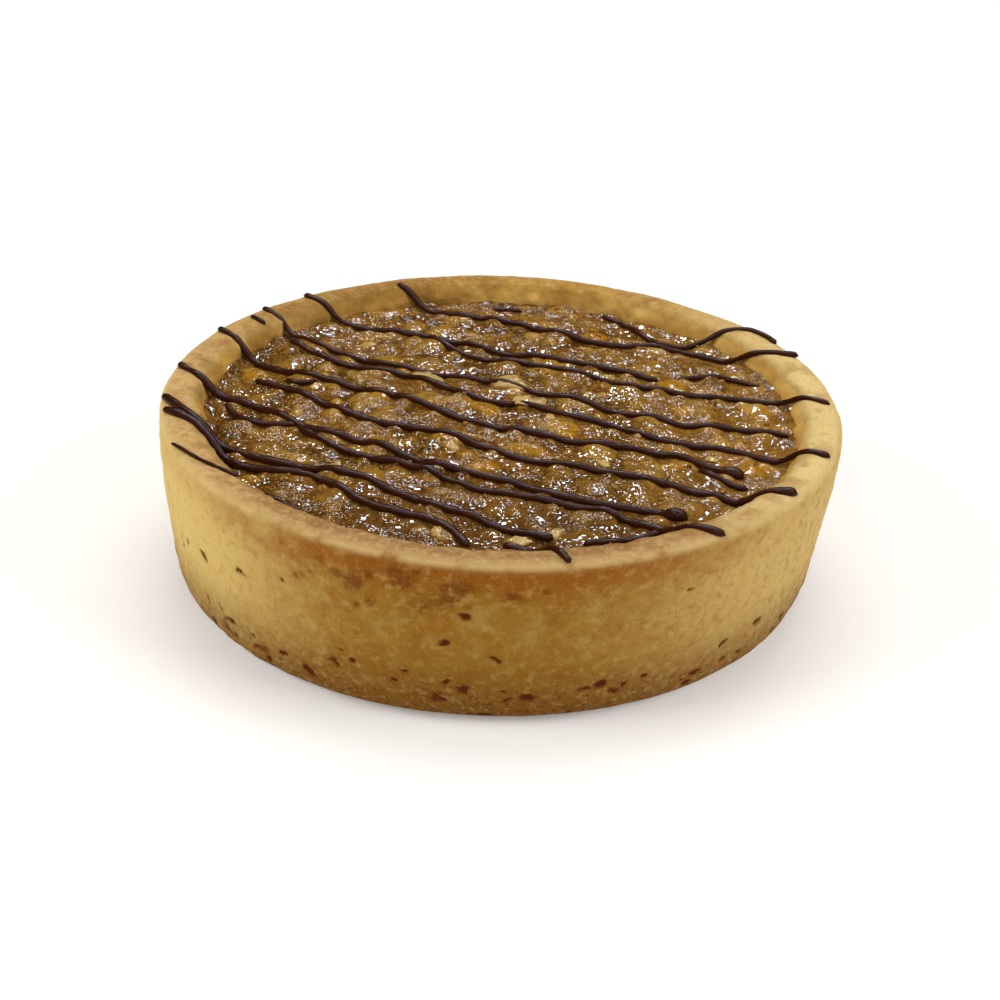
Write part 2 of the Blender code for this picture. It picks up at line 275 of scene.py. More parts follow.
def smooth_caramel(x, y):
    """Height of the caramel between the nuts, as in the solids: a low dome with gentle hollows."""
    share = np.minimum(1.0, np.hypot(x, y) / INNER_RADIUS)
    places = zip(x.ravel(), y.ravel())
    ripple = np.array([noise.noise(Vector((a, b, 0)) / FILLING_WAVE) for a, b in places])
    return FILLING_LEVEL + FILLING_DOME * (1 - share**2) + FILLING_RELIEF * ripple.reshape(x.shape)


def plan_distance(nut, x, y):
    """Distance in plan between a place and a nut's middle."""
    return math.hypot(x - nut["x"], y - nut["y"])


def scattered_nuts():
    """The large nut pieces, drawn exactly as in the solids."""
    dice = random.Random(NUT_SEED)
    nuts = []
    while len(nuts) < NUT_COUNT:
        x, y = place_in_disc(NUT_FIELD_RADIUS, dice)
        if any(plan_distance(nut, x, y) < NUT_SPACING for nut in nuts):
            continue
        half = tuple(dice.uniform(*limits) for limits in (NUT_HALF_LENGTH, NUT_HALF_WIDTH, NUT_HALF_HEIGHT))
        nuts.append({"x": x, "y": y, "half": half, "turn": dice.uniform(0, math.tau)})
    return nuts


def random_half(limits, dice):
    """Half length, width and height of a small piece."""
    length, width_share, height_share = limits
    size = dice.uniform(*length)
    return size, size * dice.uniform(*width_share), size * dice.uniform(*height_share)


def smaller_nuts(nuts):
    """Small pieces in the spaces that the large ones leave."""
    dice = random.Random(SMALL_NUT_SEED)
    small = []
    for _ in range(SMALL_NUT_TRIES):
        if len(small) == SMALL_NUT_COUNT:
            break
        x, y = place_in_disc(SMALL_NUT_FIELD_RADIUS, dice)
        if any(plan_distance(nut, x, y) < SMALL_NUT_CLEARANCE * nut["half"][0] for nut in nuts):
            continue
        if any(plan_distance(nut, x, y) < SMALL_NUT_SPACING for nut in small):
            continue
        half = random_half(SMALL_NUT_SIZE, dice)
        small.append({"x": x, "y": y, "half": half, "turn": dice.uniform(0, math.tau)})
    return small


def case_profile():
    """Radius and height from the floor's middle, up the inner wall, over the rim and down to the base."""
    top, wide = CASE_HEIGHT, WIDEST_RADIUS
    inner = [
        (0, FLOOR_THICKNESS),
        (INNER_RADIUS - 4.2 * MM, FLOOR_THICKNESS),
        (INNER_RADIUS - 2.4 * MM, FLOOR_THICKNESS + 1.5 * MM),
        (INNER_RADIUS - 0.3 * MM, FILLING_LEVEL),
        (INNER_RADIUS + 0.2 * MM, top - 1.8 * MM),
        (INNER_RADIUS + 0.9 * MM, top - 0.7 * MM),
        (INNER_RADIUS + 2.0 * MM, top - 0.15 * MM),
    ]
    rim = [
        (INNER_RADIUS + SHOULDER_WIDTH, top),
        (wide - EDGE_WIDTH, top - 0.1 * MM),
        (wide - 0.35 * MM, top - 0.6 * MM),
        (wide, top - 1.8 * MM),
    ]
    outer = [
        (wide - 0.7 * MM, 0.68 * top),
        (wide - 1.5 * MM, 0.42 * top),
        (wide - 2.6 * MM, 5.0 * MM),
        (wide - 3.6 * MM, 2.3 * MM),
        (wide - 5.1 * MM, 0.7 * MM),
        (BASE_RADIUS, 0),
        (0, 0),
    ]
    return inner + rim + outer


def uneven(points):
    """Where points of the true round tart lie on the hand-made one."""
    x, y, z = points.T
    angle = np.arctan2(y, x)
    stretch = 1 + OUT_OF_ROUND * np.cos(2 * angle + 0.6) + THREE_SIDED * np.cos(3 * angle)
    up = z / CASE_HEIGHT
    wave = RIM_WAVE * up * up * (0.6 * np.sin(2 * angle + 0.9) + 0.4 * np.sin(5 * angle))
    return np.stack([x * stretch - BASE_LEAN * (1 - up), y * stretch, z + wave], axis=1)


# ---------------------------------------------------------------- mesh objects


def mesh_piece(name, points, faces, material, attributes=None, smooth=True):
    """A mesh object in the scene, with float attributes for its material to read."""
    mesh = bpy.data.meshes.new(name)
    mesh.from_pydata(points.tolist(), [], faces)
    for key, values in (attributes or {}).items():
        mesh.attributes.new(key, "FLOAT", "POINT").data.foreach_set("value", values.astype(np.float32))
    if smooth:
        mesh.shade_smooth()
    mesh.materials.append(material)
    obj = bpy.data.objects.new(name, mesh)
    bpy.context.scene.collection.objects.link(obj)
    return obj


# ---------------------------------------------------------------- pastry case


def even_profile(points, spacing):
    """The profile's corners rounded, then points along it at about the given spacing."""
    path = np.array(points)
    near, far = 1 - CORNER_CUT, CORNER_CUT
    for _ in range(2):
        cut = [path[0]]
        for before, after in zip(path, path[1:]):
            cut += [near * before + far * after, far * before + near * after]
        path = np.array([*cut, path[-1]])
    length = np.concatenate([[0], np.cumsum(np.hypot(*np.diff(path, axis=0).T))])
    count = max(2, round(length[-1] / spacing) + 1)
    along = np.linspace(0, length[-1], count)
    return np.stack([np.interp(along, length, path[:, 0]), np.interp(along, length, path[:, 1])], axis=1)


def scattered_pits(dice):
    """Pits of the baked wall, most of them small and near the foot, and a few cracks on the left."""
    pits = []
    for _ in range(PIT_COUNT):
        if dice.random() < PITS_NEAR_FOOT:
            height = crowded(PIT_HEIGHT, dice) * MM
        else:
            height = dice.uniform(*PIT_HEIGHT_ELSEWHERE) * MM
        length = crowded(PIT_HALF_LENGTH, dice) * MM
        half = (length, length * dice.uniform(*PIT_WIDTH_SHARE))
        angle = dice.uniform(0, math.tau)
        pits.append((angle, height, half, dice.gauss(0, PIT_LEAN), dice.uniform(*PIT_STRENGTH)))
    for degrees, height, length in CRACKS:
        half = (length * MM, CRACK_HALF_WIDTH * MM)
        pits.append((math.radians(degrees), height * MM, half, CRACK_LEAN, CRACK_STRENGTH))
    return pits


def scattered_brown_spots(dice):
    """Soft browned spots, more than half of them on the front."""
    spots = []
    for _ in range(BROWN_SPOT_COUNT):
        if dice.random() < BROWN_SPOTS_IN_FRONT:
            angle = math.radians(dice.gauss(*BROWN_SPOT_DIRECTION))
        else:
            angle = dice.uniform(0, math.pi)
        length = crowded(BROWN_SPOT_HALF_LENGTH, dice) * MM
        half = (length, length * dice.uniform(*BROWN_SPOT_WIDTH_SHARE))
        height = crowded(BROWN_SPOT_HEIGHT, dice) * MM
        lean = dice.gauss(0, BROWN_SPOT_LEAN)
        spots.append((angle, height, half, lean, dice.uniform(*BROWN_SPOT_STRENGTH)))
    return spots


def marks_on_wall(angle, height, marks):
    """How strongly the marks show at points of the wall, 0 to 1."""
    shown = np.zeros(len(angle))
    for mark_angle, mark_height, (half_length, half_width), lean, strength in marks:
        around = ((angle - mark_angle + math.pi) % math.tau - math.pi) * WIDEST_RADIUS
        rise = height - mark_height
        along = around * math.cos(lean) + rise * math.sin(lean)
        across = rise * math.cos(lean) - around * math.sin(lean)
        reach = (along / half_length) ** 2 + (across / half_width) ** 2
        shown = np.maximum(shown, strength * np.exp(-(reach**MARK_SHARPNESS)))
    return shown


def case_grid():
    """The case's points ring by ring, from the floor to the base, and how many points a ring has."""
    floor_edge, *wall = case_profile()[1:-1]
    middle_of_floor = (0.5 * floor_edge[0], floor_edge[1])
    rings = np.array([middle_of_floor, floor_edge, *even_profile(wall, CASE_GRID), (0.5 * BASE_RADIUS, 0)])
    segments = round(math.tau * WIDEST_RADIUS / CASE_GRID)
    angles = np.arange(segments) * math.tau / segments
    radius, height = rings[:, 0][:, None], rings[:, 1][:, None]
    grid = [radius * np.cos(angles), radius * np.sin(angles), height + 0 * angles]
    return np.stack(grid, axis=2).reshape(-1, 3), segments


def case_shades(points):
    """How much each point belongs to the outer wall, 0 to 1, and to each zone and mark that the material
    reads."""
    x, y, z = points.T
    radius = np.hypot(x, y)
    outside = smooth_step(INNER_RADIUS + 0.5 * MM, INNER_RADIUS + 1.2 * MM, radius)
    on_top = outside * smooth_step(CASE_HEIGHT - 0.7 * MM, CASE_HEIGHT - 0.1 * MM, z)
    on_wall = outside * smooth_step(0.2 * MM, 1.4 * MM, z) * (1 - on_top)
    near_outside = smooth_step(WIDEST_RADIUS - 2.5 * MM, WIDEST_RADIUS - 1.5 * MM, radius)
    angle = np.arctan2(y, x)
    dice = random.Random(MARK_SEED)
    shades = {
        "pit": on_wall * marks_on_wall(angle, z, scattered_pits(dice)),
        "brown": on_wall * marks_on_wall(angle, z, scattered_brown_spots(dice)),
        # edge: where the material paints a highlight along the rim's rounded outer edge
        "edge": bell(z, CASE_HEIGHT - 0.6 * MM, 0.5 * MM) * near_outside,
        "top": on_top,
        "inner": (1 - outside) * smooth_step(FILLING_LEVEL - 1 * MM, FILLING_LEVEL, z),
        # shoulder: where the rim rolls into the filling, darkened in the material by caramel stain and
        # painted shade
        "shoulder": bell(radius, INNER_RADIUS + 0.9 * MM, 1.3 * MM) * (z > FILLING_LEVEL),
    }
    return on_wall, shades


def case_faces(count, segments):
    """Quads between the rings of count points in all, and triangles to two middle points after them."""
    faces = []
    for here in range(0, count - segments, segments):
        there = here + segments
        for i in range(segments):
            j = (i + 1) % segments
            faces.append((here + i, there + i, there + j, here + j))
    top, base, last = count, count + 1, count - segments
    for i in range(segments):
        j = (i + 1) % segments
        faces.append((top, i, j))
        faces.append((base, last + j, last + i))
    return faces


def pastry_case():
    """The case on a fine grid: the solids' profile with the swell, pits and cracks of baked shortcrust."""
    points, segments = case_grid()
    on_wall, shades = case_shades(points)
    outward = points * (1, 1, 0) / np.hypot(points[:, 0], points[:, 1])[:, None]
    sandy = ripples(points, *CRUST_GRAIN)
    swell = ripples(points, *WALL_SWELL) + ripples(points, *WALL_LUMPS)
    dents = PIT_DEPTH * shades["pit"] + BROWN_SPOT_DEPTH * shades["brown"]
    points += outward * (on_wall * (swell + sandy) - dents)[:, None]
    points[:, 2] += shades["top"] * (ripples(points, *RIM_SWELL) + sandy)
    uneven_edge = np.maximum(shades["inner"], shades["shoulder"]) * ripples(points, *INNER_SWELL)
    points -= outward * uneven_edge[:, None]
    faces = case_faces(len(points), segments)
    points = np.vstack([points, [[0, 0, FLOOR_THICKNESS], [0, 0, 0]]])
    attributes = {key: np.concatenate([values, [0, 0]]) for key, values in shades.items()}
    return uneven(points), faces, attributes


# ---------------------------------------------------------------- filling


class Terrain:
    """The top of the filling on a square raster: caramel lying over faceted lumps of nut.

    height is the surface, nut how far a lump shows through the caramel, 0 to 1, and tone its own tone."""

    def __init__(self, nuts):
        self.last = round(2 * TERRAIN_RADIUS / TERRAIN_CELL)
        steps = np.linspace(-TERRAIN_RADIUS, TERRAIN_RADIUS, self.last + 1)
        x, y = np.meshgrid(steps, steps, indexing="ij")
        lift, tone = lumps(x, y, nuts)
        film = blurred(lift, FILM_PASSES)
        flat = np.stack([x.ravel(), y.ravel(), 0 * x.ravel()], axis=1)
        swell = ripples(flat, *CARAMEL_SWELL).reshape(x.shape)
        fine = ripples(flat, *CARAMEL_GRAIN).reshape(x.shape)
        creep = CREEP_HEIGHT + ripples(flat, *CARAMEL_CREEP).reshape(x.shape)
        on_crests = 0.4 + 0.6 * smooth_step(-0.2, 0.5, swell / CARAMEL_SWELL[0])
        edge = smooth_step(INNER_RADIUS - 1.8 * MM, INNER_RADIUS + 0.2 * MM, np.hypot(x, y))
        relief = film + swell + fine * on_crests
        self.height = smooth_caramel(x, y) + relief * (1 - edge) + creep * edge
        self.nut = smooth_step(0.15 * MM, 0.6 * MM, film)
        self.tone = blurred(tone, TONE_PASSES)

    def sample(self, values, x, y):
        """Bilinear reading of one of the rasters at the points."""
        u, v = ((c + TERRAIN_RADIUS) / (2 * TERRAIN_RADIUS) * self.last for c in (x, y))
        i, j = (np.clip(c.astype(int), 0, self.last - 1) for c in (u, v))
        du, dv = u - i, v - j
        low = values[i, j] * (1 - dv) + values[i, j + 1] * dv
        high = values[i + 1, j] * (1 - dv) + values[i + 1, j + 1] * dv
        return low * (1 - du) + high * du

    def level(self, x, y):
        """Height of the surface at one place."""
        return float(self.sample(self.height, np.array([x]), np.array([y]))[0])


def blurred(values, passes):
    """The raster after soft averaging with its neighbours."""
    for _ in range(passes):
        for axis in (0, 1):
            values = 0.5 * values + 0.25 * (np.roll(values, 1, axis) + np.roll(values, -1, axis))
    return values


def lumps(x, y, nuts):
    """How far the pieces rise over the caramel at points of a raster, and the tone of the highest piece."""
    lift, tone = np.zeros_like(x), np.full_like(x, PLAIN_TONE)
    for number, nut in enumerate(nuts):
        reach = LUMP_REACH * nut["half"][0]
        near = (np.abs(x - nut["x"]) < reach) & (np.abs(y - nut["y"]) < reach)
        rise = lump(x[near], y[near], nut, random.Random(LUMP_SEED + number))
        higher = rise > lift[near]
        lift[near] = np.where(higher, rise, lift[near])
        tone[near] = np.where(higher, nut["tone"], tone[near])
    return lift, tone


def lump(x, y, nut, dice):
    """Rise of a chopped piece over the caramel: a slightly tilted plateau with five to seven cut sides."""
    half_length, half_width, half_height = nut["half"]
    cos, sin = math.cos(nut["turn"]), math.sin(nut["turn"])
    along = ((x - nut["x"]) * cos + (y - nut["y"]) * sin) / half_length
    across = ((y - nut["y"]) * cos - (x - nut["x"]) * sin) / half_width
    sides = dice.randint(*LUMP_SIDES)
    first = dice.uniform(0, math.tau)
    share = np.ones_like(x) + dice.gauss(0, LUMP_TILT) * along + dice.gauss(0, LUMP_TILT) * across
    for k in range(sides):
        angle = first + (k + dice.uniform(-LUMP_JITTER, LUMP_JITTER)) * math.tau / sides
        outline = dice.uniform(*LUMP_OUTLINE)
        slope = 1 / dice.uniform(*LUMP_BEVEL)
        share = np.minimum(share, (outline - along * math.cos(angle) - across * math.sin(angle)) * slope)
    return LUMP_HEIGHT_SHARE * half_height * np.maximum(0, share)


def disc_grid(radius):
    """An even grid of quads bent into a disc: x, y, faces, and its edge points' numbers in order."""
    n = CARAMEL_GRID
    steps = np.linspace(-1, 1, n + 1)
    a, b = np.meshgrid(steps, steps, indexing="ij")
    wide = np.abs(a) >= np.abs(b)
    reach = np.where(wide, a, b)
    safe = np.where(reach == 0, 1, reach)
    angle = np.where(wide, math.pi / 4 * b / safe, math.pi / 2 - math.pi / 4 * a / safe)
    x, y = (radius * reach * np.cos(angle)).ravel(), (radius * reach * np.sin(angle)).ravel()
    faces = []
    for row in range(0, n * (n + 1), n + 1):
        faces += [(row + j, row + n + 1 + j, row + n + 2 + j, row + j + 1) for j in range(n)]
    edge = [n * (n + 1) + j for j in range(n)] + [i * (n + 1) + n for i in range(n, 0, -1)]
    edge += list(range(n, 0, -1)) + [i * (n + 1) for i in range(n)]
    return x, y, faces, edge


def caramel_piece(terrain):
    """The filling as a disc of even quads, closed by its side and underside."""
    x, y, faces, edge = disc_grid(CARAMEL_RADIUS)
    points = np.stack([x, y, terrain.sample(terrain.height, x, y)], axis=1)
    nut, tone = [terrain.sample(terrain.nut, x, y)], [terrain.sample(terrain.tone, x, y)]
    count = len(edge)
    for radius, level in (
        (INNER_RADIUS - 0.6 * MM, FILLING_LEVEL - 1.5 * MM),
        (INNER_RADIUS - 2.7 * MM, FLOOR_THICKNESS + 1.8 * MM),
        (INNER_RADIUS - 4.5 * MM, FLOOR_THICKNESS + 0.3 * MM),
    ):
        ring = points[edge].copy()
        ring[:, :2] *= radius / np.hypot(ring[:, 0], ring[:, 1])[:, None]
        ring[:, 2] = level
        below = list(range(len(points), len(points) + count))
        points = np.vstack([points, ring])
        for k in range(count):
            following = (k + 1) % count
            faces.append((edge[k], below[k], below[following], edge[following]))
        nut.append(np.zeros(count))
        tone.append(np.zeros(count))
        edge = below
    faces.append(tuple(reversed(edge)))
    return uneven(points), faces, {"nut": np.concatenate(nut), "tone": np.concatenate(tone)}


def unit_ball(subdivisions):
    """Points and triangles of a ball of radius 1."""
    ball = bmesh.new()
    bmesh.ops.create_icosphere(ball, subdivisions=subdivisions, radius=1.0)
    ball.verts.ensure_lookup_table()
    points = np.array([v.co for v in ball.verts])
    faces = [tuple(v.index for v in f.verts) for f in ball.faces]
    ball.free()
    return points, faces


def chopped(points, seed, wrinkle):
    """A ball cut by a few random planes, and wrinkled most where its skin is left."""
    dice = random.Random(seed)
    shape, cut = points.copy(), np.zeros(len(points))
    for _ in range(dice.randint(*CUTS)):
        normal = Vector((dice.gauss(0, 1), dice.gauss(0, 1), dice.gauss(0, 0.8))).normalized()
        beyond = np.maximum(0, shape @ np.array(normal) - dice.uniform(*CUT_DISTANCE))
        shape -= beyond[:, None] * np.array(normal)
        cut = np.maximum(cut, (beyond > 0.02) * 1.0)
    skin = np.array([noise.noise(Vector(p) * SKIN_WAVES + Vector((seed, 0, 0))) for p in points])
    return shape * (1 + wrinkle * skin * (1 - 0.6 * cut))[:, None]


def nut_pieces(nuts, subdivisions, wrinkle, first_seed):
    """All pieces of one size as one mesh, each point with its nut's tone and how far up the nut it is."""
    ball, ball_faces = unit_ball(subdivisions)
    points, faces, tone, show = [], [], [], []
    for number, nut in enumerate(nuts):
        seed = first_seed + number
        dice = random.Random(seed)
        shape = chopped(ball, seed, wrinkle) * np.array(nut["half"])
        tilt_x = Matrix.Rotation(dice.gauss(0, PIECE_TILT), 3, "X")
        tilt = tilt_x @ Matrix.Rotation(dice.gauss(0, PIECE_TILT), 3, "Y")
        turn = np.array(Matrix.Rotation(nut["turn"], 3, "Z") @ tilt)
        start = len(points) * len(ball)
        placed = shape @ turn.T + np.array([nut["x"], nut["y"], nut["z"]])
        points.append(placed)
        faces += [tuple(start + i for i in face) for face in ball_faces]
        tone.append(np.full(len(ball), nut["tone"]))
        show.append((placed[:, 2] - nut["z"]) / nut["half"][2])
    return uneven(np.vstack(points)), faces, {"tone": np.concatenate(tone), "show": np.concatenate(show)}


def give_tones(nuts, seed):
    """Each piece's own tone, from dark skin at 0 over caramel and amber to cream flesh at 1."""
    dice = random.Random(seed)
    for nut in nuts:
        nut["tone"] = dice.random()


def crumbs(terrain):
    """Tiny bits of nut on the surface."""
    dice = random.Random(CRUMB_SEED)
    bits = []
    for _ in range(CRUMB_COUNT):
        x, y = place_in_disc(CRUMB_FIELD_RADIUS, dice)
        bit = {"x": x, "y": y, "z": terrain.level(x, y), "half": random_half(CRUMB_SIZE, dice)}
        bit["turn"] = dice.uniform(0, math.tau)
        bit["tone"] = dice.random()
        bits.append(bit)
    return bits


# ---------------------------------------------------------------- chocolate


def strand_plan(name):
    """The strand's line in plan, as in the solids: a chord with a bow, a sway and a wave to its left."""
    start_x, start_y, end_x, end_y, bow, sway, wave, half_waves, _ = STRANDS[name]
    start = np.array((start_x, start_y)) * MM
    chord = np.array((end_x, end_y)) * MM - start
    length = float(np.hypot(*chord))
    left = np.array((-chord[1], chord[0])) / length
    share = np.linspace(0, 1, max(6, round(length / STRAND_RING) + 1))
    turn = math.pi * share
    side = (bow * np.sin(turn) + sway * np.sin(2 * turn) + wave * np.sin(half_waves * turn)) * MM
    return start + share[:, None] * chord + side[:, None] * left


def tart_top(x, y, terrain):
    """Top of everything the chocolate lies on: the filling, or the rim beyond the inner wall."""
    radius = np.hypot(x, y)
    from_flat = np.maximum(0, INNER_RADIUS + SHOULDER_WIDTH - radius)
    into_edge = np.maximum(0, radius - (WIDEST_RADIUS - EDGE_WIDTH))
    rim = CASE_HEIGHT - from_flat**2 / SHOULDER_CURVE - into_edge**2 / EDGE_CURVE
    return np.where(radius > INNER_RADIUS - 0.2 * MM, rim, terrain.sample(terrain.height, x, y))


def smoothed(values, reach):
    """A running mean with soft ends over reach points each way."""
    window = np.hanning(2 * reach + 3)[1:-1]
    padded = np.pad(values, reach, mode="edge")
    return np.convolve(padded, window / window.sum(), mode="valid")


def draped(x, y, diameter, terrain):
    """Height of the strand's line over what it lies on."""
    reach = STRAND_FOOTPRINT * diameter
    under = np.max([tart_top(x + step, y + step, terrain) for step in (0, reach, -reach)], axis=0)
    taut, close = smoothed(under, TAUT_RINGS), smoothed(under, CLOSE_RINGS)
    return smoothed(np.maximum(taut, close - STRAND_BITE), CLOSE_RINGS)


def strand_radius(name, diameter, count):
    """The strand's radius at each of its rings: uneven, round at both ends, some with a blob at the last."""
    along = np.arange(count) * STRAND_RING
    long_wave, short_wave = STRAND_WAVES
    thick = np.array([noise.noise(Vector((s / long_wave, len(name), ord(name[0])))) for s in along])
    thick += 0.5 * np.array([noise.noise(Vector((s / short_wave, 3.0, len(name)))) for s in along])
    radius = diameter / 2 * (1 + STRAND_UNEVENNESS * thick)
    radius *= 1 + END_BLOBS.get(name, 0.0) * bell(along, along[-1] - BLOB_FROM_END, BLOB_WIDTH)
    to_end = np.minimum(along, along[-1] - along) / END_ROUNDING
    return radius * np.sqrt(np.clip(1 - (1 - np.minimum(1, to_end)) ** 2, END_TIP, 1))


def strand_tube(name, terrain):
    """Points of one strand's tube, ring by ring."""
    x, y = strand_plan(name).T
    diameter = STRANDS[name][-1] * MM
    radius = strand_radius(name, diameter, len(x))
    spine = np.stack([x, y, draped(x, y, diameter, terrain) + STRAND_LIFT * radius], axis=1)
    tangent = np.gradient(spine, axis=0)
    tangent /= np.linalg.norm(tangent, axis=1)[:, None]
    side = np.cross(np.array([0, 0, 1.0]), tangent)
    side /= np.linalg.norm(side, axis=1)[:, None]
    normal = np.cross(tangent, side)
    turn = np.arange(STRAND_SIDES) * math.tau / STRAND_SIDES
    width, height = STRAND_OVAL
    tube = (
        spine[:, None]
        + side[:, None] * (radius[:, None] * width * np.cos(turn))[..., None]
        + normal[:, None] * (radius[:, None] * height * np.sin(turn))[..., None]
    )
    return tube.reshape(-1, 3)


def tube_faces(first, count):
    """Faces of a closed tube whose points, ring by ring, run from the first number on."""
    sides, last = STRAND_SIDES, first + count - STRAND_SIDES
    faces = []
    for here in range(first, last, sides):
        there = here + sides
        for i in range(sides):
            j = (i + 1) % sides
            faces.append((here + i, here + j, there + j, there + i))
    faces.append(tuple(first + i for i in reversed(range(sides))))
    faces.append(tuple(last + i for i in range(sides)))
    return faces


def chocolate_piece(terrain):
    """All strands as one mesh."""
    points, faces, start = [], [], 0
    for name in STRANDS:
        tube = strand_tube(name, terrain)
        faces += tube_faces(start, len(tube))
        points.append(tube)
        start += len(tube)
    return uneven(np.vstack(points)), faces


# ---------------------------------------------------------------- materials

# Colour of a glazed nut piece by its tone
TONES = (
    (0.00, (52, 28, 12)),
    (0.08, (78, 46, 16)),
    (0.12, (118, 80, 34)),
    (0.35, (130, 92, 36)),
    (0.60, (152, 112, 44)),
    (0.80, (164, 120, 34)),
    (0.85, (170, 114, 12)),
    (0.90, (174, 122, 20)),
    (0.95, (180, 146, 78)),
    (1.00, (206, 178, 114)),
)
SPECKLE = (0.66, 0.58, 0.44, 1)
FLOOR_SHADES = ((0.90, 0.90, 0.895, 1), (0.92, 0.92, 0.92, 1))


def add(tree, kind, sockets=None, **settings):
    """A shader node with its settings, and each named socket set to a value or joined to an output."""
    made = tree.nodes.new("ShaderNode" + kind)
    for key, value in settings.items():
        setattr(made, key, value)
    for key, value in (sockets or {}).items():
        if isinstance(value, bpy.types.NodeSocket):
            tree.links.new(value, made.inputs[key])
        else:
            made.inputs[key].default_value = value
    return made


def new_material(name):
    material = bpy.data.materials.new(name)
    material.use_nodes = True
    tree = material.node_tree
    return material, tree, tree.nodes["Principled BSDF"]


def object_place(tree):
    return add(tree, "TexCoord").outputs["Object"]


def join(tree, output, shader, socket):
    tree.links.new(output, shader.inputs[socket])


def mix(tree, factor, first, second, blend="MIX"):
    """Colour mixed from first to second."""
    made = add(tree, "Mix", {0: factor, 6: first, 7: second}, data_type="RGBA", blend_type=blend)
    return made.outputs[2]


def ramp(tree, value, low, high):
    """value from low to high, as 0 to 1."""
    limits = {"Value": value, "From Min": low, "From Max": high}
    return add(tree, "MapRange", limits, clamp=True, interpolation_type="SMOOTHSTEP").outputs[0]


def grain(tree, place, size, detail=2.0, roughness=0.5):
    """Noise over the object's own coordinates with waves of the given size in metres."""
    sockets = {"Vector": place, "Scale": 1 / size, "Detail": detail, "Roughness": roughness}
    return add(tree, "TexNoise", sockets).outputs["Fac"]


def maths(tree, operation, first, second):
    return add(tree, "Math", {0: first, 1: second}, operation=operation).outputs[0]


def scaled(tree, value, by):
    return maths(tree, "MULTIPLY", value, by)


def both(tree, first, *others):
    """Where each of the masks shows."""
    for other in others:
        first = maths(tree, "MULTIPLY", first, other)
    return first


def layered(tree, colour, layers):
    """The colour under more layers: where each shows, how strongly, and its display colour."""
    for mask, strength, shade in layers:
        colour = mix(tree, scaled(tree, mask, strength), colour, srgb(*shade))
    return colour


def bump(tree, height, strength, distance, normal=None):
    sockets = {"Height": height, "Strength": strength, "Distance": distance}
    if normal is not None:
        sockets["Normal"] = normal
    return add(tree, "Bump", sockets).outputs["Normal"]


def attribute(tree, name):
    return add(tree, "Attribute", attribute_name=name).outputs["Fac"]


def crust_masks(tree):
    """What the crust's colours follow: noises from coarse to fine, and the sides of the tart, -Y in front."""
    on = SimpleNamespace(place=object_place(tree))
    moved = {"Vector": on.place, "Location": (0.3, 0.2, 0.1), "Scale": (1, 1, 1.15)}
    elsewhere = add(tree, "Mapping", moved).outputs[0]
    on.patches = grain(tree, on.place, 9 * MM, 3.0)
    on.blotches = grain(tree, elsewhere, 4.5 * MM, 3.0)
    on.mottle = grain(tree, elsewhere, 1.5 * MM, 3.0, 0.6)
    on.specks = grain(tree, elsewhere, 0.8 * MM, 2.0, 0.6)
    on.sand = grain(tree, on.place, 0.4 * MM, 2.0, 0.6)
    on.x, on.y, on.z = add(tree, "SeparateXYZ", {"Vector": on.place}).outputs
    on.wavy_z = maths(tree, "ADD", on.z, scaled(tree, on.mottle, 4 * MM))
    # The sides of the tart: in the crust's colours the front carries painted shade, and the left and right
    # painted light
    on.front = ramp(tree, on.y, 5 * MM, -46 * MM)
    on.left = ramp(tree, on.x, -16 * MM, -46 * MM)
    on.right = ramp(tree, on.x, 8 * MM, 47 * MM)
    on.not_left = maths(tree, "SUBTRACT", 1.0, scaled(tree, on.left, 0.6))
    on.not_right = maths(tree, "SUBTRACT", 1.0, scaled(tree, on.right, 0.8))
    on.back_left = both(tree, ramp(tree, on.y, 20 * MM, 40 * MM), ramp(tree, on.x, 5 * MM, -20 * MM))
    return on


def wall_colour(tree, on):
    """The outer wall: its base colour, a front darker by painted shade and sides paler by painted light, a
    darker foot, a brown band under the rim, and fine mottling.
    """
    high = ramp(tree, on.wavy_z, 21.5 * MM, 27.5 * MM)
    band = both(tree, high, on.front, ramp(tree, on.patches, 0.20, 0.50))
    band = both(tree, band, both(tree, on.not_left, on.not_right))
    layers = (
        # Painted shade: the front of the wall darker
        (on.front, 0.75, (142, 100, 32)),
        (ramp(tree, on.blotches, 0.50, 0.64), 0.55, (146, 92, 30)),
        (ramp(tree, on.blotches, 0.46, 0.32), 0.35, (178, 150, 86)),
        # Painted light: the left and right sides of the wall paler
        (on.left, 0.8, (218, 190, 118)),
        (on.right, 0.8, (202, 174, 110)),
        (ramp(tree, on.z, 15 * MM, 1 * MM), 0.8, (108, 65, 18)),
        (band, 0.85, (140, 78, 16)),
        (both(tree, ramp(tree, on.mottle, 0.50, 0.68), on.not_left), 0.38, (138, 90, 32)),
        (ramp(tree, on.mottle, 0.48, 0.32), 0.25, (198, 166, 98)),
    )
    wall = mix(tree, ramp(tree, on.patches, 0.36, 0.64), srgb(170, 128, 54), srgb(186, 148, 72))
    wall = layered(tree, wall, layers)
    speckled = both(tree, ramp(tree, on.specks, 0.46, 0.70), ramp(tree, on.patches, 0.35, 0.62), on.not_left)
    wall = mix(tree, scaled(tree, speckled, 0.4), wall, SPECKLE, "MULTIPLY")
    brown = both(tree, attribute(tree, "brown"), ramp(tree, on.mottle, 0.15, 0.60))
    return layered(tree, wall, [(ramp(tree, brown, 0.0, 0.80), 0.75, (106, 54, 12))])


def inner_wall_colour(tree, on):
    """The inner wall over the filling, darker low down: partly soaked with caramel, partly painted shade."""
    low = ramp(tree, on.wavy_z, 29.0 * MM, 25.8 * MM)
    # Darker low on the inner wall, less so on the right: partly caramel soaked in, partly painted shade of
    # the recess
    soaked_and_shaded = both(tree, low, ramp(tree, on.blotches, 0.36, 0.56), on.not_right)
    inner = mix(tree, ramp(tree, on.patches, 0.35, 0.65), srgb(196, 150, 72), srgb(216, 174, 94))
    return layered(tree, inner, [(soaked_and_shaded, 0.6, (120, 76, 28))])


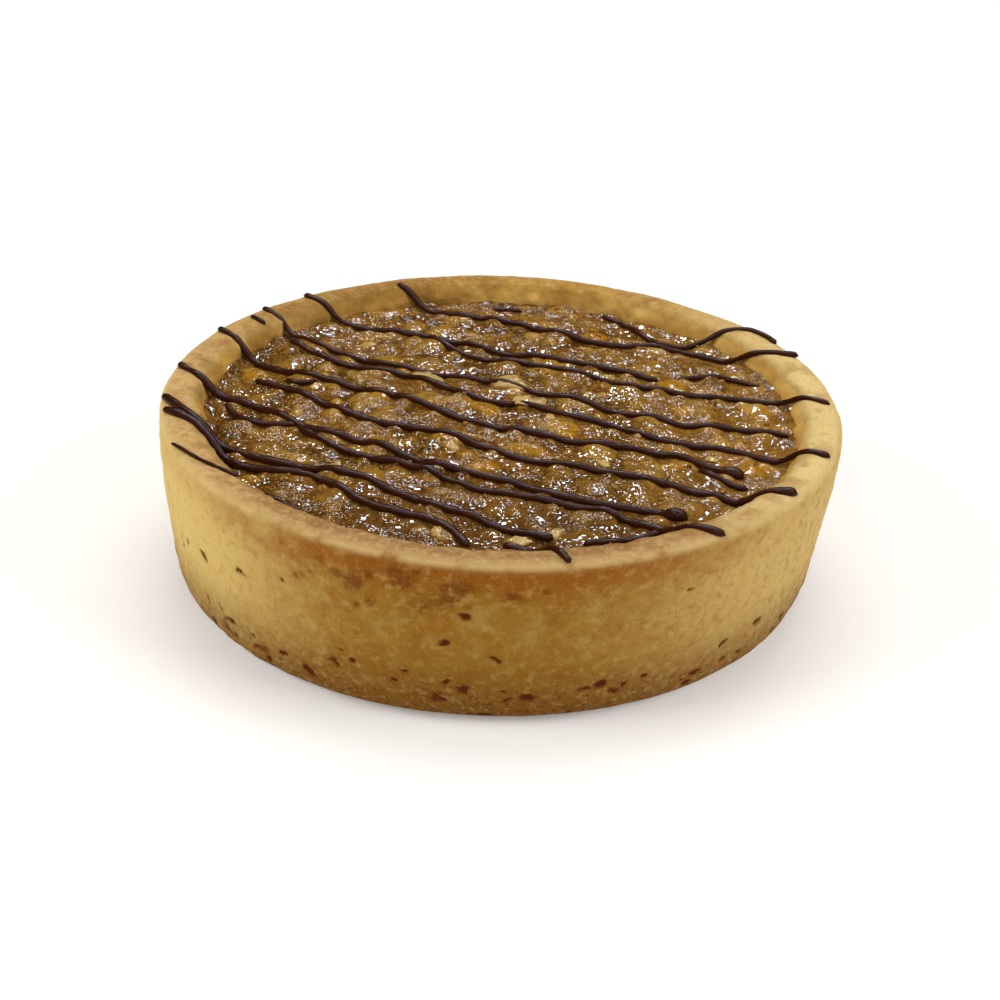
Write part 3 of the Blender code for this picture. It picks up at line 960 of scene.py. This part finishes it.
def rim_colour(tree, on):
    """The top of the rim: its base colour, painted light and shade on its sides, blotches, mottling and
    flecks.
    """
    layers = (
        # Painted light: the right and left of the rim paler
        (on.right, 0.85, (234, 206, 138)),
        (on.left, 0.6, (214, 176, 112)),
        (both(tree, ramp(tree, on.y, 10 * MM, 42 * MM), on.not_right), 0.85, (182, 138, 54)),
        (on.back_left, 0.7, (150, 112, 54)),
        # Painted shade: the front of the rim darker
        (ramp(tree, on.y, -26 * MM, -44 * MM), 0.75, (154, 116, 70)),
        (ramp(tree, on.blotches, 0.48, 0.60), 0.45, (152, 102, 52)),
        (ramp(tree, on.mottle, 0.52, 0.34), 0.3, (212, 180, 120)),
        (both(tree, ramp(tree, on.mottle, 0.50, 0.66), on.not_right), 0.3, (142, 92, 44)),
        (ramp(tree, on.specks, 0.54, 0.66), 0.25, (224, 196, 144)),
        (ramp(tree, on.specks, 0.46, 0.34), 0.22, (150, 104, 56)),
    )
    rim = mix(tree, ramp(tree, on.patches, 0.40, 0.60), srgb(164, 122, 80), srgb(184, 148, 92))
    return layered(tree, rim, layers)


def pastry_material():
    """Baked shortcrust: ochre with soft brown and olive blotches and a paler rim, a front darker by painted
    shade, sides paler by painted light, and dark pits with painted shade in them.
    """
    material, tree, shader = new_material("baked_pastry")
    on = crust_masks(tree)
    colour = mix(tree, attribute(tree, "inner"), wall_colour(tree, on), inner_wall_colour(tree, on))
    colour = mix(tree, attribute(tree, "top"), colour, rim_colour(tree, on))
    shoulder = attribute(tree, "shoulder")
    # Darker on the shoulder where the rim rolls into the filling, less so on the right: partly caramel stain,
    # partly painted shade
    stain_and_shade = both(tree, shoulder, ramp(tree, on.blotches, 0.30, 0.58), on.not_right)
    # A paler line along the rim's rounded outer edge: a painted highlight
    edge_highlight = both(tree, attribute(tree, "edge"), ramp(tree, on.blotches, 0.25, 0.55))
    near_foot = ramp(tree, on.z, 11 * MM, 1 * MM)
    pit_shade = maths(tree, "SUBTRACT", attribute(tree, "pit"), grain(tree, on.place, 0.9 * MM, 2.0))
    layers = (
        (stain_and_shade, 0.55, (126, 82, 34)),
        # Painted shade on the shoulder at the back left
        (both(tree, shoulder, on.back_left), 0.6, (128, 92, 40)),
        (edge_highlight, 0.75, (214, 184, 124)),
        (both(tree, ramp(tree, on.specks, 0.57, 0.66), near_foot), 0.7, (88, 48, 14)),
        (both(tree, ramp(tree, on.specks, 0.40, 0.32), near_foot), 0.4, (190, 152, 90)),
        (ramp(tree, on.sand, 0.50, 0.30), 0.1, (206, 178, 116)),
        # Dark pits and cracks: painted shade in them
        (ramp(tree, pit_shade, -0.40, 0.10), 0.55, (126, 70, 20)),
        (ramp(tree, pit_shade, -0.20, 0.22), 0.95, (78, 38, 12)),
    )
    join(tree, layered(tree, colour, layers), shader, "Base Color")
    join(tree, ramp(tree, on.mottle, -0.6, 1.3), shader, "Roughness")
    shader.inputs["Specular IOR Level"].default_value = 0.02
    normal = bump(tree, on.sand, strength=0.6, distance=0.12 * MM)
    join(tree, bump(tree, on.mottle, 0.5, 0.25 * MM, normal), shader, "Normal")
    return material


def tone_colour(tree, tone):
    """The colour of a glazed nut piece by its tone."""
    made = add(tree, "ValToRGB", {"Fac": tone})
    stops = made.color_ramp.elements
    while len(stops) < len(TONES):
        stops.new(0.5)
    for stop, (position, colour) in zip(stops, TONES):
        stop.position, stop.color = position, srgb(*colour)
    return made.outputs["Color"]


def wet_gloss(tree, shader, place):
    """The caramel's wet surface: smooth in places, and in others set with tiny bubbles that sparkle. Returns
    how far each point is up a bubble, which the caramel's colour uses for painted glints on the bubbles'
    tops."""
    shader.inputs["Roughness"].default_value = 0.07
    shader.inputs["Specular IOR Level"].default_value = 0.36
    to_middle = add(tree, "TexVoronoi", {"Vector": place, "Scale": 1 / (0.5 * MM)}).outputs["Distance"]
    bubbles = maths(tree, "SUBTRACT", 1.0, maths(tree, "MULTIPLY", to_middle, to_middle))
    bubbles = both(tree, bubbles, ramp(tree, grain(tree, place, 4 * MM, 2.0), 0.48, 0.60))
    normal = bump(tree, bubbles, strength=1.0, distance=0.18 * MM)
    join(tree, bump(tree, grain(tree, place, 1.0 * MM, 1.0), 0.5, 0.2 * MM, normal), shader, "Normal")
    return bubbles


def caramel_material():
    """Amber caramel over nut pieces: their tones show through on top, and the hollows are dark. Painted shade
    darkens the front and painted light brightens the right.
    """
    material, tree, shader = new_material("caramel")
    place = object_place(tree)
    patches = grain(tree, place, 6 * MM, 3.0)
    spots = grain(tree, place, 1.2 * MM, 3.0, 0.6)
    fine = grain(tree, place, 0.5 * MM, 2.0, 0.6)
    axes = add(tree, "SeparateXYZ", {"Vector": place}).outputs
    hollow = mix(tree, ramp(tree, patches, 0.4, 0.6), srgb(84, 52, 16), srgb(120, 80, 30))
    colour = mix(tree, attribute(tree, "nut"), hollow, tone_colour(tree, attribute(tree, "tone")))
    layers = (
        (ramp(tree, spots, 0.55, 0.68), 0.5, (184, 138, 58)),
        (ramp(tree, spots, 0.45, 0.32), 0.6, (70, 38, 12)),
        # Paler gold on the bubbles' tops: painted glints
        (ramp(tree, wet_gloss(tree, shader, place), 0.7, 1.0), 0.4, (196, 148, 66)),
        (ramp(tree, fine, 0.52, 0.66), 0.5, (194, 148, 70)),
        (ramp(tree, fine, 0.46, 0.34), 0.4, (76, 44, 14)),
        # Painted shade: the front of the filling darker; painted light: the right paler
        (ramp(tree, axes["Y"], -12 * MM, -40 * MM), 0.6, (82, 48, 14)),
        (ramp(tree, axes["X"], 10 * MM, 36 * MM), 0.25, (184, 136, 56)),
    )
    join(tree, layered(tree, colour, layers), shader, "Base Color")
    return material


def walnut_material():
    """Chopped walnut just under the glaze: skin or cream flesh by its tone, caramel round the foot."""
    material, tree, shader = new_material("glazed_walnut")
    place = object_place(tree)
    spots = grain(tree, place, 1.2 * MM, 3.0, 0.6)
    colour = tone_colour(tree, attribute(tree, "tone"))
    colour = mix(tree, ramp(tree, attribute(tree, "show"), 0.75, 0.35), colour, srgb(126, 84, 26))
    colour = layered(tree, colour, [(ramp(tree, spots, 0.5, 0.7), 0.35, (150, 108, 44))])
    join(tree, colour, shader, "Base Color")
    wet_gloss(tree, shader, place)
    return material


def chocolate_material():
    """Dark chocolate, set with a soft gloss."""
    material, tree, shader = new_material("dark_chocolate")
    place = object_place(tree)
    patches = grain(tree, place, 3 * MM, 3.0)
    join(tree, mix(tree, patches, srgb(40, 15, 3), srgb(64, 28, 8)), shader, "Base Color")
    shader.inputs["Roughness"].default_value = 0.3
    shader.inputs["Specular IOR Level"].default_value = 0.14
    join(tree, bump(tree, grain(tree, place, 1.3 * MM, 1.0), 0.4, 0.2 * MM), shader, "Normal")
    return material


def floor_material():
    """A pale matt floor that glows a little, so that it stays near white."""
    material, tree, shader = new_material("pale_floor")
    clouds = grain(tree, object_place(tree), 0.2, 2.0)
    join(tree, mix(tree, clouds, *FLOOR_SHADES), shader, "Base Color")
    shader.inputs["Roughness"].default_value = 0.9
    shader.inputs["Specular IOR Level"].default_value = 0.1
    shader.inputs["Emission Color"].default_value = (1, 1, 1, 1)
    shader.inputs["Emission Strength"].default_value = 0.2
    return material


# ---------------------------------------------------------------- studio

FLOOR_HALF_WIDTH = 3.0
WORLD_STRENGTH = 0.26

# Broad lights without highlights: azimuth, elevation, distance, size, power and colour
BROAD_LIGHTS = {
    "overhead": (170, 70, 0.7, 0.5, 1.9, (1.0, 0.99, 0.97)),
    "left_window": (-72, 30, 0.8, 0.5, 3.7, (1.0, 0.98, 0.95)),
    "right_window": (70, 30, 0.8, 0.5, 3.5, (1.0, 0.98, 0.95)),
}

# Small lamps that make only highlights: azimuth, elevation and colour
WARM, COLD = (0.98, 0.94, 0.86), (0.70, 0.84, 1.04)
LAMP_DISTANCE = 0.6
LAMP_SIZE = 0.044
LAMP_POWER = 0.50
LAMPS = (
    (150, 48, COLD),
    (180, 40, COLD),
    (205, 52, WARM),
    (165, 62, COLD),
    (195, 72, COLD),
    (125, 58, WARM),
    (235, 60, COLD),
    (30, 64, WARM),
    (300, 62, COLD),
    (350, 46, COLD),
    (75, 50, COLD),
)


def area_light(name, azimuth, elevation, distance, size, power, colour, highlights):
    """A square light aimed at the tart, for its highlights alone or for all but them. Azimuth 0 is where the
    camera stands, and 90 is to its right."""
    data = bpy.data.lights.new(name, "AREA")
    data.size, data.energy, data.color = size, power, colour
    light = bpy.data.objects.new(name, data)
    light.visible_glossy = highlights
    light.visible_diffuse = not highlights
    a, e = math.radians(azimuth), math.radians(elevation)
    back = Vector((math.sin(a) * math.cos(e), -math.cos(a) * math.cos(e), math.sin(e)))
    light.location = back * distance + Vector((0, 0, CASE_HEIGHT / 2))
    light.rotation_mode = "QUATERNION"
    light.rotation_quaternion = (-back).to_track_quat("-Z", "Y")
    bpy.context.scene.collection.objects.link(light)


def studio():
    """Even white surroundings that don't mirror in the caramel, the lights, and the floor."""
    world = bpy.data.worlds.new("studio")
    world.use_nodes = True
    background = world.node_tree.nodes["Background"]
    background.inputs["Color"].default_value = (1.0, 1.0, 1.0, 1)
    background.inputs["Strength"].default_value = WORLD_STRENGTH
    scene = bpy.context.scene
    scene.world = world
    world.cycles_visibility.glossy = False
    scene.view_settings.view_transform = "Standard"
    for name, settings in BROAD_LIGHTS.items():
        area_light(name, *settings, highlights=False)
    for i, (azimuth, elevation, colour) in enumerate(LAMPS):
        lamp = (azimuth, elevation, LAMP_DISTANCE, LAMP_SIZE, LAMP_POWER, colour)
        area_light(f"lamp_{i}", *lamp, highlights=True)
    w = FLOOR_HALF_WIDTH
    corners = np.array([(-w, -w, 0), (w, -w, 0), (w, w, 0), (-w, w, 0)], float)
    floor = mesh_piece("floor", corners, [(0, 1, 2, 3)], floor_material(), smooth=False)


def camera():
    """The camera at the photograph's viewing angle, rolled about its axis as the photograph is."""
    data = bpy.data.cameras.new("photo_view")
    data.lens, data.sensor_width = CAMERA_LENS, CAMERA_SENSOR
    data.clip_start, data.clip_end = CAMERA_CLIP
    cam = bpy.data.objects.new("photo_view", data)
    back = Vector((0, -math.cos(CAMERA_ELEVATION), math.sin(CAMERA_ELEVATION)))
    level_right = Vector((1, 0, 0))
    level_up = back.cross(level_right)
    right = level_right * math.cos(CAMERA_ROLL) + level_up * math.sin(CAMERA_ROLL)
    up = back.cross(right)
    aim = Vector((0, 0, CASE_HEIGHT / 2)) + right * AIM_RIGHT - up * AIM_DOWN
    place = Matrix.Translation(aim + back * CAMERA_DISTANCE)
    cam.matrix_world = place @ Matrix((right, up, back)).transposed().to_4x4()
    bpy.context.scene.collection.objects.link(cam)
    bpy.context.scene.camera = cam


def main():
    """The tart's pieces on its one body, in the studio."""
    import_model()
    large = scattered_nuts()
    small = smaller_nuts(large)
    give_tones(large, LARGE_TONE_SEED)
    give_tones(small, SMALL_TONE_SEED)
    terrain = Terrain(large + small)
    showing = [nut for nut in large + small if nut["tone"] > SHOWING_TONE]
    for nut in showing:
        nut["z"] = terrain.level(nut["x"], nut["y"]) - SUNK_SHARE * nut["half"][2]
    pieces = {}
    points, faces, attributes = pastry_case()
    pieces["pastry_case"] = mesh_piece("pastry_case", points, faces, pastry_material(), attributes)
    points, faces, attributes = caramel_piece(terrain)
    pieces["caramel"] = mesh_piece("caramel", points, faces, caramel_material(), attributes)
    walnut = walnut_material()
    for name, nuts, shape in (
        ("walnut_pieces", showing, SHOWING_SHAPE),
        ("walnut_crumbs", crumbs(terrain), CRUMB_SHAPE),
    ):
        points, faces, attributes = nut_pieces(nuts, *shape)
        pieces[name] = mesh_piece(name, points, faces, walnut, attributes)
    points, faces = chocolate_piece(terrain)
    pieces["chocolate"] = mesh_piece("chocolate", points, faces, chocolate_material())
    for name, piece in pieces.items():
        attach(piece, "root")
    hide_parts("crust")
    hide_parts("filling")
    studio()
    camera()


main()
